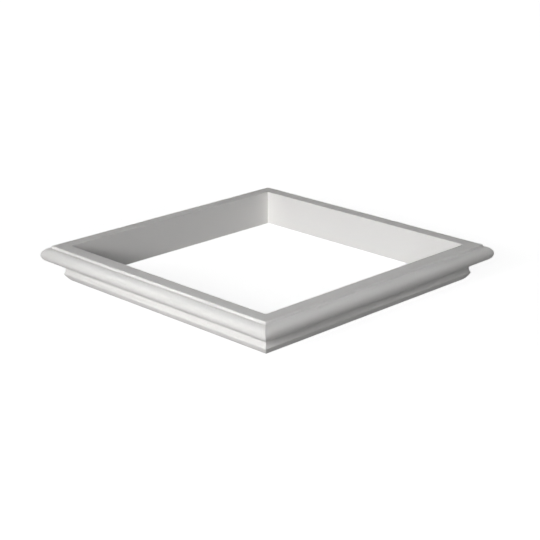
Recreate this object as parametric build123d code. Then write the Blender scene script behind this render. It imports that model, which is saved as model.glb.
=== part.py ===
"""Neck moulding of a square porch column: one moulded ring with mitred corners.

The ring slides down over the column's shaft and is bonded to it below the capital. Its section
has, from the top down, a flat fillet, a quirk, a half-round bead, a cove, and a flared band
with a bowed underside. The same section runs unbroken round all four sides.

Frame: millimetres, +Z up. The origin is the centre of the column opening, on the bottom face.
Front and back sides run along X, left and right sides run along Y.
"""

from build123d import *
import os

# Column shaft that the ring slides over
column_width = 285.75
column_depth = 285.75
column_clearance = 0.25

# Heights of the section, from the bottom face
moulding_height = 38.1
neck_height = 13.5
band_height = 7.4

# Projections of the section, outwards from the face that meets the column
top_flat_width = 13.9
bead_projection = 23.2
neck_projection = 5.2
band_projection = 6.8
foot_width = 1.2

# Bead, the fillet that stands above it, and the quirk between them
bead_radius = 7.6
fillet_height = 2.4
fillet_draft = 0.3
quirk_width = 0.8
quirk_depth = 0.75

# Bow of the band's underside, from foot to nose
underside_bow = 0.5

# Eased edges
top_arris_radius = 0.9
column_arris_radius = 0.5
heel_radius = 0.3
quirk_radius = 0.3
bead_lip_radius = 0.2
band_arris_radius = 1.0
foot_arris_radius = 0.3

# Opening and heights that follow from the sizes above
opening_width = column_width + 2 * column_clearance
opening_depth = column_depth + 2 * column_clearance
bead_top = moulding_height - fillet_height
bead_bottom = bead_top - 2 * bead_radius
bead_centre = (bead_projection - bead_radius, bead_top - bead_radius)
cove_radius = bead_bottom - neck_height


def bead_height_at(projection: float) -> float:
    """Height of the bead's upper surface at a projection, from the equation of its circle."""
    run = projection - bead_centre[0]
    return bead_centre[1] + (bead_radius**2 - run**2) ** 0.5


def moulding_section() -> Face:
    """Closed section, with X as the projection from the column face and Y as the height."""
    heel = (0, 0)
    foot = (foot_width, 0)
    band_nose = (band_projection, band_height)
    neck = (neck_projection, neck_height)
    soffit_start = (neck_projection + cove_radius, bead_bottom)
    bead_foot = (bead_centre[0], bead_bottom)
    bead_nose = (bead_projection, bead_centre[1])
    quirk_projection = top_flat_width + fillet_draft
    lip_projection = quirk_projection + quirk_width
    bead_lip = (lip_projection, bead_height_at(lip_projection))
    quirk = (quirk_projection, bead_lip[1] - quirk_depth)
    top_arris = (top_flat_width, moulding_height)
    column_arris = (0, moulding_height)

    with BuildSketch() as section:
        with BuildLine():
            Line(heel, foot)
            SagittaArc(foot, band_nose, -underside_bow)
            TangentArc(neck, band_nose, tangent=(0, -1))
            TangentArc(neck, soffit_start, tangent=(0, 1))
            Line(soffit_start, bead_foot)
            ThreePointArc(bead_foot, bead_nose, bead_lip)
            Polyline(bead_lip, quirk, top_arris, column_arris, heel)
        make_face()
        eased = (
            (top_arris, top_arris_radius),
            (column_arris, column_arris_radius),
            (heel, heel_radius),
            (foot, foot_arris_radius),
            (band_nose, band_arris_radius),
            (quirk, quirk_radius),
            (bead_lip, bead_lip_radius),
        )
        for corner, radius in eased:
            fillet(section.vertices().sort_by_distance((*corner, 0))[0], radius)
    return section.sketch.face()


def neck_moulding() -> Solid:
    """Section carried round the opening, with mitred corners."""
    half_width = opening_width / 2
    half_depth = opening_depth / 2
    route = Polyline(
        (0, -half_depth, 0),
        (-half_width, -half_depth, 0),
        (-half_width, half_depth, 0),
        (half_width, half_depth, 0),
        (half_width, -half_depth, 0),
        (0, -half_depth, 0),
    )
    start = Plane(origin=(0, -half_depth, 0), x_dir=(0, -1, 0), z_dir=(-1, 0, 0))
    ring = sweep(start * moulding_section(), path=route, transition=Transition.RIGHT)
    return ring.solid()


os.makedirs("parts", exist_ok=True)
export_step(neck_moulding(), "parts/neck_moulding.step")
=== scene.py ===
"""Looks of a square neck moulding: its satin white skin, and the plain studio it stands in.

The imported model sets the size. One fine mesh of nearly the same section stands for its single
node, with the outside corners eased as on the real moulding. All lengths are metres, +Z is up, and
the photograph looks at the corner between the front side, which faces -Y, and the right side.
"""

import logging
import math
from dataclasses import dataclass
from enum import Enum

import bpy
import numpy as np
from mathutils import Matrix, Vector


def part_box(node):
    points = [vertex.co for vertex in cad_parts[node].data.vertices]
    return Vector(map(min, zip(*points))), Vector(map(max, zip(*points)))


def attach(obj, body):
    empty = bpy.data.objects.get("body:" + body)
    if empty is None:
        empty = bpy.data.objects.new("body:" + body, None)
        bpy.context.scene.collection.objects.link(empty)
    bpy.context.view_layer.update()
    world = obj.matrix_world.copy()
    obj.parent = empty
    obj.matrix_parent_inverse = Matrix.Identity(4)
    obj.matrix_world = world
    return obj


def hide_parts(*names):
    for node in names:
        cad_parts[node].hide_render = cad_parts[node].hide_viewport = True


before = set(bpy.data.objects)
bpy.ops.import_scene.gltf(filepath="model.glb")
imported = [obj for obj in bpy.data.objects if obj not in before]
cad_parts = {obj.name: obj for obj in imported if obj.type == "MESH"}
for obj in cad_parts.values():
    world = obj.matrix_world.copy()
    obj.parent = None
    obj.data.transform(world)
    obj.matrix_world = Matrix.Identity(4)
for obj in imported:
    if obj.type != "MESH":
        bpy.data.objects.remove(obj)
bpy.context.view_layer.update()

log = logging.getLogger("neck_moulding")

MM = 0.001
NODE = "neck_moulding"
BODY = "root"


class Ease(Enum):
    """How softly an edge of the section is broken, as the length taken off each side of it."""

    NONE = 0.0
    CRISP = 0.2 * MM
    LIGHT = 0.35 * MM
    SOFT = 0.8 * MM


@dataclass(frozen=True)
class Straight:
    """A straight run of the section, from start to end.

    Each point is the projection from the column face and the height.
    """

    start: tuple[float, float]
    end: tuple[float, float]

    def length(self) -> float:
        """Returns the run's length."""
        return math.dist(self.start, self.end)

    def at(self, travel: np.ndarray) -> np.ndarray:
        """Points on the run: the start plus the run's direction times the distance travelled.

        Args:
            travel: distances from the start.

        Returns:
            One row of projection and height for each distance.
        """
        start = np.array(self.start)
        direction = (np.array(self.end) - start) / self.length()
        return start + travel[:, None] * direction


@dataclass(frozen=True)
class Oval:
    """An elliptical run of the section, from one angle of its circle to another."""

    centre: tuple[float, float]
    half_width: float
    half_height: float
    start_deg: float
    end_deg: float
    steps: int = 600

    def traced(self) -> tuple[np.ndarray, np.ndarray]:
        """Traces the oval in many short steps.

        A point is the centre plus the half width times the angle's cosine and the half height
        times its sine. Its travel is the sum of the steps before it.

        Returns:
            The points, and the distance travelled to each.
        """
        angle = np.radians(np.linspace(self.start_deg, self.end_deg, self.steps + 1))
        across = self.half_width * np.cos(angle)
        upwards = self.half_height * np.sin(angle)
        points = np.array(self.centre) + np.stack([across, upwards], axis=-1)
        steps = np.linalg.norm(np.diff(points, axis=0), axis=1)
        return points, np.concatenate([[0.0], np.cumsum(steps)])

    def length(self) -> float:
        """Returns the oval's length."""
        return float(self.traced()[1][-1])

    def at(self, travel: np.ndarray) -> np.ndarray:
        """Points on the oval, read between its traced points at each distance travelled.

        Args:
            travel: distances from the start.

        Returns:
            One row of projection and height for each distance.
        """
        points, travelled = self.traced()
        read = [np.interp(travel, travelled, values) for values in points.T]
        return np.stack(read, axis=-1)


@dataclass(frozen=True)
class Arc:
    """A circular run of the section, turning from one angle to another about a centre."""

    centre: tuple[float, float]
    radius: float
    start_deg: float
    end_deg: float

    def length(self) -> float:
        """Returns the arc's length."""
        return self.radius * math.radians(abs(self.end_deg - self.start_deg))

    def at(self, travel: np.ndarray) -> np.ndarray:
        """Points on the arc: the centre plus the radius times the cosine and sine of the angle.

        The angle grows evenly with the distance travelled.

        Args:
            travel: distances from the start.

        Returns:
            One row of projection and height for each distance.
        """
        share = travel / self.length()
        angle = np.radians(self.start_deg + share * (self.end_deg - self.start_deg))
        turned = np.stack([np.cos(angle), np.sin(angle)], axis=-1)
        return np.array(self.centre) + self.radius * turned


def bowed(start: tuple[float, float], end: tuple[float, float], sagitta: float) -> Arc:
    """Finds the arc that runs anticlockwise from start to end and bows outwards by a sagitta.

    Its radius is the half chord squared plus the sagitta squared, over twice the sagitta.

    Args:
        start: first point, as projection and height.
        end: last point.
        sagitta: distance from the chord's middle to the arc.

    Returns:
        The arc.
    """
    chord = (end[0] - start[0], end[1] - start[1])
    half = math.hypot(*chord) / 2
    radius = (half**2 + sagitta**2) / (2 * sagitta)
    depth = (radius - sagitta) / (2 * half)
    middle = ((start[0] + end[0]) / 2, (start[1] + end[1]) / 2)
    centre = (middle[0] - chord[1] * depth, middle[1] + chord[0] * depth)
    turns = [math.degrees(math.atan2(p[1] - centre[1], p[0] - centre[0])) for p in (start, end)]
    return Arc(centre, radius, *turns)


@dataclass
class MouldedSection:
    """The moulding's section, with its sizes read from the photograph and tuned to its shading."""

    height: float
    bead_projection: float = 23.2 * MM
    top_flat_width: float = 14.5 * MM
    fillet_height: float = 2.2 * MM
    fillet_draft: float = 0.3 * MM
    quirk_width: float = 0.8 * MM
    quirk_depth: float = 1.0 * MM
    bead_half_width: float = 9.0 * MM
    bead_half_height: float = 7.8 * MM
    neck_projection: float = 5.2 * MM
    neck_height: float = 13.5 * MM
    band_projection: float = 6.8 * MM
    band_height: float = 7.4 * MM
    foot_width: float = 1.2 * MM
    underside_bow: float = 0.5 * MM
    nose_ease: Ease = Ease.SOFT
    lip_ease: Ease = Ease.CRISP
    quirk_ease: Ease = Ease.LIGHT
    top_ease: Ease = Ease.SOFT
    points_per_run: int = 25
    points_per_edge: int = 6

    def runs(self) -> list[tuple[Straight | Arc | Oval, Ease]]:
        """Lists the runs round the section, each with the easing of the edge at its end.

        The order goes outwards along the foot, up the outside and back down the column face.

        Returns:
            Pairs of a run and the easing between it and the next.
        """
        bead_top = self.height - self.fillet_height
        bead_bottom = bead_top - 2 * self.bead_half_height
        bead_radii = (self.bead_half_width, self.bead_half_height)
        bead_centre = (self.bead_projection - bead_radii[0], bead_top - bead_radii[1])
        cove_radius = bead_bottom - self.neck_height
        cove_centre = (self.neck_projection + cove_radius, self.neck_height)
        soffit_start = (cove_centre[0], bead_bottom)
        bead_foot = (bead_centre[0], bead_bottom)
        foot = (self.foot_width, 0.0)
        band_nose = (self.band_projection, self.band_height)
        neck = (self.neck_projection, self.neck_height)
        top_arris = (self.top_flat_width, self.height)
        column_arris = (0.0, self.height)
        heel = (0.0, 0.0)

        flare = self.band_projection - self.neck_projection
        flare_rise = self.neck_height - self.band_height
        flare_radius = (flare**2 + flare_rise**2) / (2 * flare)
        flare_centre = (self.neck_projection + flare_radius, self.neck_height)
        flare_deg = 180 + math.degrees(math.asin(flare_rise / flare_radius))
        quirk_projection = self.top_flat_width + self.fillet_draft
        lip_projection = quirk_projection + self.quirk_width
        lip_deg = math.degrees(math.acos((lip_projection - bead_centre[0]) / self.bead_half_width))
        lip_rise = self.bead_half_height * math.sin(math.radians(lip_deg))
        bead_lip = (lip_projection, bead_centre[1] + lip_rise)
        quirk = (quirk_projection, bead_lip[1] - self.quirk_depth)
        return [
            (Straight(heel, foot), Ease.LIGHT),
            (bowed(foot, band_nose, self.underside_bow), self.nose_ease),
            (Arc(flare_centre, flare_radius, flare_deg, 180), Ease.NONE),
            (Arc(cove_centre, cove_radius, 180, 90), Ease.NONE),
            (Straight(soffit_start, bead_foot), Ease.NONE),
            (Oval(bead_centre, *bead_radii, -90, lip_deg), self.lip_ease),
            (Straight(bead_lip, quirk), self.quirk_ease),
            (Straight(quirk, top_arris), self.top_ease),
            (Straight(top_arris, column_arris), Ease.LIGHT),
            (Straight(column_arris, heel), Ease.LIGHT),
        ]

    def outline(self) -> np.ndarray:
        """Samples the closed section.

        Along a run the distances follow half a cosine wave, which crowds them at its ends. Between
        two runs the edge is a quadratic curve: its ends lie the easing before and after the edge,
        and its middle control point is the edge itself.

        Returns:
            One row of projection and height for each point, with no point repeated.
        """
        runs = self.runs()
        wave = (1 - np.cos(np.linspace(0, math.pi, self.points_per_run))) / 2
        pieces = []
        for index, (run, after) in enumerate(runs):
            before = runs[index - 1][1]
            following = runs[(index + 1) % len(runs)][0]
            body = run.at(before.value + wave * (run.length() - before.value - after.value))
            pieces.append(body if after is not Ease.NONE else body[:-1])
            if after is not Ease.NONE:
                edge = run.at(np.array([run.length()]))
                landing = following.at(np.array([after.value]))
                share = np.linspace(0, 1, self.points_per_edge)[1:-1, None]
                pull = 2 * share * (1 - share)
                pieces.append((1 - share) ** 2 * body[-1:] + pull * edge + share**2 * landing)
        return np.concatenate(pieces)


@dataclass
class NeckMoulding:
    """The moulded ring: its section carried round the column opening, with eased mitres."""

    section: MouldedSection
    half_width: float
    half_depth: float
    corner_ease: float = 0.35 * MM
    stations_per_side: int = 36
    stations_per_corner: int = 7

    def ring(self) -> np.ndarray:
        """Carries the section round the opening.

        At a projection p the path is a rectangle whose half sides are the opening's plus p, and
        whose corners are quarter circles of the easing's radius. A corner's points are its centre
        plus that radius times the cosine and sine of the angle. Points along a side divide the
        line between two corners evenly.

        Returns:
            Points as an array of stations round the path, by points of the section, by 3.
        """
        outline = self.section.outline()
        projection, height = outline[:, 0], outline[:, 1]
        reach_x = self.half_width + projection - self.corner_ease
        reach_y = self.half_depth + projection - self.corner_ease
        quarter = np.linspace(0, math.pi / 2, self.stations_per_corner)
        share = np.linspace(0, 1, self.stations_per_side + 2)[1:-1, None, None]
        corners = []
        for turn, (side_x, side_y) in enumerate(((1, 1), (-1, 1), (-1, -1), (1, -1))):
            angle = (turn * math.pi / 2 + quarter)[:, None]
            x = side_x * reach_x + self.corner_ease * np.cos(angle)
            y = side_y * reach_y + self.corner_ease * np.sin(angle)
            corners.append(np.stack([x, y, np.broadcast_to(height, x.shape)], axis=-1))
        path = []
        for turn, corner in enumerate(corners):
            following = corners[(turn + 1) % len(corners)]
            path.append(corner)
            path.append(corner[-1:] * (1 - share) + following[:1] * share)
        return np.concatenate(path)

    def build(self, finish: "SatinWhiteSkin") -> bpy.types.Object:
        """Makes the ring's mesh and dresses it.

        Args:
            finish: the skin that the ring wears.

        Returns:
            The finished piece, riding on the moulding's body.
        """
        piece = closed_grid("neck_moulding_skin", self.ring())
        piece.data.materials.append(finish.material())
        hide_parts(NODE)
        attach(piece, BODY)
        return piece


def closed_grid(name: str, points: np.ndarray) -> bpy.types.Object:
    """Makes a mesh from a grid of points that closes on itself both ways.

    Face (i, j) joins points (i, j), (i + 1, j), (i + 1, j + 1) and (i, j + 1), counted round.

    Args:
        name: the object's name.
        points: an array of rows by columns by 3.

    Returns:
        The object, smooth shaded, with its faces pointing outwards.
    """
    rows, columns = points.shape[:2]
    index = np.arange(rows * columns).reshape(rows, columns)
    after_row = np.roll(index, -1, axis=0)
    after_column = np.roll(index, -1, axis=1)
    after_both = np.roll(after_row, -1, axis=1)
    faces = np.stack([index, after_row, after_both, after_column], axis=-1).reshape(-1, 4)
    mesh = bpy.data.meshes.new(name)
    mesh.from_pydata(points.reshape(-1, 3), [], faces.tolist())
    mesh.shade_smooth()
    mesh.update()
    piece = bpy.data.objects.new(name, mesh)
    bpy.context.scene.collection.objects.link(piece)
    return piece


@dataclass(frozen=True)
class SatinWhiteSkin:
    """Satin white skin of a moulded trim piece: an even white with a very fine orange peel."""

    name: str = "satin_white_skin"
    colour: tuple[float, float, float] = (0.872, 0.86, 0.844)
    roughness: float = 0.6
    roughness_spread: float = 0.05
    specular: float = 0.3
    cloud_size: float = 60 * MM
    cloud_contrast: float = 0.012
    cloud_detail: float = 3.0
    gloss_detail: float = 4.0
    wave_size: float = 14 * MM
    wave_depth: float = 0.006 * MM
    wave_detail: float = 1.0
    peel_size: float = 1.1 * MM
    peel_depth: float = 0.006 * MM
    peel_detail: float = 2.0

    def material(self) -> bpy.types.Material:
        """Builds the node material: clouded colour, uneven gloss, waves and orange peel.

        Returns:
            The material.
        """
        material = bpy.data.materials.new(self.name)
        material.use_nodes = True
        nodes, links = material.node_tree.nodes, material.node_tree.links
        shader = nodes["Principled BSDF"]
        where = nodes.new("ShaderNodeTexCoord").outputs["Object"]

        shader.inputs["Specular IOR Level"].default_value = self.specular

        cloud = self.noise(nodes, links, where, self.cloud_size, self.cloud_detail)
        tone = nodes.new("ShaderNodeMix")
        tone.data_type = "RGBA"
        tone.inputs["A"].default_value = (*(c * (1 - self.cloud_contrast) for c in self.colour), 1)
        tone.inputs["B"].default_value = (*(c * (1 + self.cloud_contrast) for c in self.colour), 1)
        links.new(cloud, tone.inputs["Factor"])
        links.new(tone.outputs["Result"], shader.inputs["Base Color"])

        gloss = nodes.new("ShaderNodeMapRange")
        gloss.inputs["To Min"].default_value = self.roughness - self.roughness_spread
        gloss.inputs["To Max"].default_value = self.roughness + self.roughness_spread
        patches = self.noise(nodes, links, where, self.wave_size, self.gloss_detail)
        links.new(patches, gloss.inputs["Value"])
        links.new(gloss.outputs["Result"], shader.inputs["Roughness"])

        swell = self.noise(nodes, links, where, self.wave_size, self.wave_detail)
        waves = self.bump(nodes, links, swell, self.wave_depth)
        pits = self.noise(nodes, links, where, self.peel_size, self.peel_detail)
        peel = self.bump(nodes, links, pits, self.peel_depth)
        links.new(waves.outputs["Normal"], peel.inputs["Normal"])
        links.new(peel.outputs["Normal"], shader.inputs["Normal"])
        return material

    def noise(
        self,
        nodes: bpy.types.Nodes,
        links: bpy.types.NodeLinks,
        where: bpy.types.NodeSocket,
        size: float,
        detail: float,
    ) -> bpy.types.NodeSocket:
        """Adds a noise pattern.

        Args:
            nodes: the material's nodes.
            links: the material's links.
            where: the coordinates that the pattern is read at.
            size: how far apart its lumps are.
            detail: how many finer layers it has.

        Returns:
            The pattern's value.
        """
        pattern = nodes.new("ShaderNodeTexNoise")
        pattern.inputs["Scale"].default_value = 1 / size
        pattern.inputs["Detail"].default_value = detail
        links.new(where, pattern.inputs["Vector"])
        return pattern.outputs["Fac"]

    def bump(
        self,
        nodes: bpy.types.Nodes,
        links: bpy.types.NodeLinks,
        height: bpy.types.NodeSocket,
        depth: float,
    ) -> bpy.types.Node:
        """Adds a bump that lifts the surface by a pattern.

        Args:
            nodes: the material's nodes.
            links: the material's links.
            height: the pattern.
            depth: the height of its lumps.

        Returns:
            The bump node.
        """
        lift = nodes.new("ShaderNodeBump")
        lift.inputs["Distance"].default_value = depth
        links.new(height, lift.inputs["Height"])
        return lift


def sees_backdrop(nodes: bpy.types.Nodes, links: bpy.types.NodeLinks) -> bpy.types.NodeSocket:
    """Adds a switch for the rays that see the studio's white.

    The camera, glossy and transmission flags are added together and held at 1.

    Args:
        nodes: the nodes of a floor material or of the world.
        links: the links between them.

    Returns:
        A value that is 1 for those rays and 0 for the rays that only light the object.
    """
    seen = nodes.new("ShaderNodeLightPath")
    switch = nodes.new("ShaderNodeMath")
    switch.operation = "MULTIPLY_ADD"
    switch.use_clamp = True
    either = nodes.new("ShaderNodeMath")
    either.operation = "ADD"
    links.new(seen.outputs["Is Camera Ray"], either.inputs[0])
    links.new(seen.outputs["Is Glossy Ray"], either.inputs[1])
    links.new(seen.outputs["Is Transmission Ray"], switch.inputs[0])
    switch.inputs[1].default_value = 1
    links.new(either.outputs[0], switch.inputs[2])
    return switch.outputs[0]


@dataclass
class StudioFloor:
    """A plain pale floor that shows as white and keeps the object's soft shadow.

    The glow is weaker near the object, where the lamps light the floor as well.
    """

    half_size: float = 12.0
    colour: tuple[float, float, float] = (0.3, 0.3, 0.3)
    near_glow: float = 0.9
    far_glow: float = 1.0
    near_reach: float = 0.2
    far_reach: float = 0.6

    def build(self) -> bpy.types.Object:
        """Makes the floor.

        To the camera and in reflections it is its diffuse colour plus a glow, so it shows as white
        where nothing shades it. As a light on the object it is only the diffuse colour.

        Returns:
            The floor.
        """
        reach = self.half_size
        mesh = bpy.data.meshes.new("studio_floor")
        corners = [(-reach, -reach, 0), (reach, -reach, 0), (reach, reach, 0), (-reach, reach, 0)]
        mesh.from_pydata(corners, [], [(0, 1, 2, 3)])
        floor = bpy.data.objects.new("studio_floor", mesh)
        bpy.context.scene.collection.objects.link(floor)
        mesh.materials.append(self.material())
        return floor

    def material(self) -> bpy.types.Material:
        """Builds the floor's material.

        The glow rises evenly with the distance from the object, between the near and far reach.

        Returns:
            The material.
        """
        material = bpy.data.materials.new("studio_floor")
        material.use_nodes = True
        nodes, links = material.node_tree.nodes, material.node_tree.links
        nodes.remove(nodes["Principled BSDF"])
        paper = nodes.new("ShaderNodeBsdfDiffuse")
        paper.inputs["Color"].default_value = (*self.colour, 1)
        away = nodes.new("ShaderNodeVectorMath")
        away.operation = "LENGTH"
        links.new(nodes.new("ShaderNodeTexCoord").outputs["Object"], away.inputs[0])
        rise = nodes.new("ShaderNodeMapRange")
        rise.inputs["From Min"].default_value = self.near_reach
        rise.inputs["From Max"].default_value = self.far_reach
        rise.inputs["To Min"].default_value = self.near_glow
        rise.inputs["To Max"].default_value = self.far_glow
        links.new(away.outputs["Value"], rise.inputs["Value"])
        glow = nodes.new("ShaderNodeEmission")
        links.new(rise.outputs["Result"], glow.inputs["Strength"])
        shown = nodes.new("ShaderNodeAddShader")
        links.new(paper.outputs["BSDF"], shown.inputs[0])
        links.new(glow.outputs["Emission"], shown.inputs[1])
        chosen = nodes.new("ShaderNodeMixShader")
        links.new(sees_backdrop(nodes, links), chosen.inputs["Fac"])
        links.new(paper.outputs["BSDF"], chosen.inputs[1])
        links.new(shown.outputs["Shader"], chosen.inputs[2])
        links.new(chosen.outputs["Shader"], nodes["Material Output"].inputs["Surface"])
        return material


def heading(azimuth_deg: float, elevation_deg: float) -> Vector:
    """Finds the direction from the object towards an azimuth and an elevation.

    Level, it is the azimuth's sine along +X and its cosine along -Y; both shrink with the
    elevation's cosine, and its sine is the height.

    Args:
        azimuth_deg: turn from the front side towards the right side.
        elevation_deg: rise above the floor.

    Returns:
        The direction, one metre long.
    """
    turn, rise = math.radians(azimuth_deg), math.radians(elevation_deg)
    level = math.cos(rise)
    return Vector((math.sin(turn) * level, -math.cos(turn) * level, math.sin(rise)))


@dataclass(frozen=True)
class SoftBox:
    """A square soft light that faces the object from an azimuth and an elevation.

    Azimuth 0 stands on the object's front side, and 90 on its right side. Its centre lies at its
    distance from the point that it is aimed at. One that doesn't shine gives no highlight.
    """

    name: str
    azimuth_deg: float
    elevation_deg: float
    distance: float
    size: float
    power: float
    spread_deg: float = 180.0
    aim: tuple[float, float, float] = (0.0, 0.0, 0.0)
    shines: bool = True

    def build(self) -> bpy.types.Object:
        """Makes the light.

        Returns:
            The light, aimed at its point.
        """
        away = heading(self.azimuth_deg, self.elevation_deg)
        data = bpy.data.lights.new(self.name, "AREA")
        data.shape = "SQUARE"
        data.size = self.size
        data.energy = self.power
        data.spread = math.radians(self.spread_deg)
        lamp = bpy.data.objects.new(self.name, data)
        lamp.location = Vector(self.aim) + away * self.distance
        lamp.rotation_mode = "QUATERNION"
        lamp.rotation_quaternion = away.to_track_quat("Z", "Y")
        lamp.visible_glossy = self.shines
        bpy.context.scene.collection.objects.link(lamp)
        return lamp


# The first four light the two sides that the photograph shows. The last keeps the hidden ones from
# rendering nearly black.
BESIDE_CENTRE = (0.03, 0.0, 0.0)
LAMPS = (
    SoftBox("key_light", 30, 20, 3.0, size=1.0, power=2.0, spread_deg=34, aim=BESIDE_CENTRE),
    SoftBox("front_light", 5, 20, 3.0, size=0.5, power=0.6, spread_deg=20, aim=BESIDE_CENTRE),
    SoftBox("top_light", 45, 55, 1.0, size=0.45, power=0.87),
    SoftBox("side_light", 80, 8, 1.5, size=0.6, power=0.72),
    SoftBox("back_light", 240, 3.2, 3.0, size=0.32, power=1.6, spread_deg=34, shines=False),
)


@dataclass
class StudioAir:
    """White surroundings, which show behind the object and in reflections.

    The strength is that of their light on the object. It is none here: the lamps do all of it.
    """

    strength: float = 0.0

    def build(self) -> bpy.types.World:
        """Makes the world.

        Returns:
            The world, set as the scene's.
        """
        world = bpy.data.worlds.new("studio_air")
        world.use_nodes = True
        nodes, links = world.node_tree.nodes, world.node_tree.links
        light = nodes["Background"]
        light.inputs["Color"].default_value = (1, 1, 1, 1)
        light.inputs["Strength"].default_value = self.strength
        shown = nodes.new("ShaderNodeBackground")
        shown.inputs["Color"].default_value = (1, 1, 1, 1)
        chosen = nodes.new("ShaderNodeMixShader")
        links.new(sees_backdrop(nodes, links), chosen.inputs["Fac"])
        links.new(light.outputs["Background"], chosen.inputs[1])
        links.new(shown.outputs["Background"], chosen.inputs[2])
        links.new(chosen.outputs["Shader"], nodes["World Output"].inputs["Surface"])
        bpy.context.scene.world = world
        return world


@dataclass
class Viewpoint:
    """The photograph's camera, with its distances as multiples of the column opening.

    It stands at the azimuth and elevation. The focal length is in pixels of the square picture.
    """

    opening: float
    azimuth_deg: float = 45.315
    elevation_deg: float = 18.847
    roll_deg: float = -0.295
    distance: float = 5.2161
    aim_right: float = 0.0102
    aim_up: float = 0.0358
    focal_px: float = 1431.76
    image_px: float = 540.0
    sensor: float = 36.0

    def build(self) -> bpy.types.Object:
        """Makes the camera.

        The point that it looks at lies off the opening's centre by the aim's shares of the
        opening, along the picture's right and up. The lens is the focal length as a share of the
        picture's width, times the sensor's width.

        Returns:
            The camera, set as the scene's.
        """
        turn, roll = math.radians(self.azimuth_deg), math.radians(self.roll_deg)
        ahead = -heading(self.azimuth_deg, self.elevation_deg)
        level = Vector((math.cos(turn), math.sin(turn), 0))
        plumb = level.cross(ahead)
        right = math.cos(roll) * level + math.sin(roll) * plumb
        up = math.cos(roll) * plumb - math.sin(roll) * level
        aim = self.opening * (self.aim_right * right + self.aim_up * up)
        data = bpy.data.cameras.new("viewpoint")
        data.sensor_width = self.sensor
        data.lens = self.focal_px / self.image_px * self.sensor
        camera = bpy.data.objects.new("viewpoint", data)
        camera.location = aim - self.opening * self.distance * ahead
        camera.rotation_mode = "QUATERNION"
        camera.rotation_quaternion = Matrix((right, up, -ahead)).transposed().to_quaternion()
        bpy.context.scene.collection.objects.link(camera)
        bpy.context.scene.camera = camera
        return camera


def main() -> None:
    """Builds the moulding, its studio and its camera in order, and reports each."""
    logging.basicConfig(level=logging.INFO, format="%(message)s")
    bpy.context.scene.view_settings.view_transform = "Standard"

    low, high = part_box(NODE)
    section = MouldedSection(height=high.z - low.z)
    moulding = NeckMoulding(
        section=section,
        half_width=high.x - section.bead_projection,
        half_depth=high.y - section.bead_projection,
    )
    piece = moulding.build(SatinWhiteSkin())
    log.info("%s: %d faces", piece.name, len(piece.data.polygons))

    floor = StudioFloor().build()
    log.info("%s: half size %.1f m", floor.name, StudioFloor.half_size)
    StudioAir().build()
    for lamp in LAMPS:
        log.info("%s: %.2f W", lamp.build().name, lamp.power)
    camera = Viewpoint(opening=2 * moulding.half_width).build()
    log.info("%s: lens %.1f mm", camera.name, camera.data.lens)


if __name__ == "__main__":
    main()
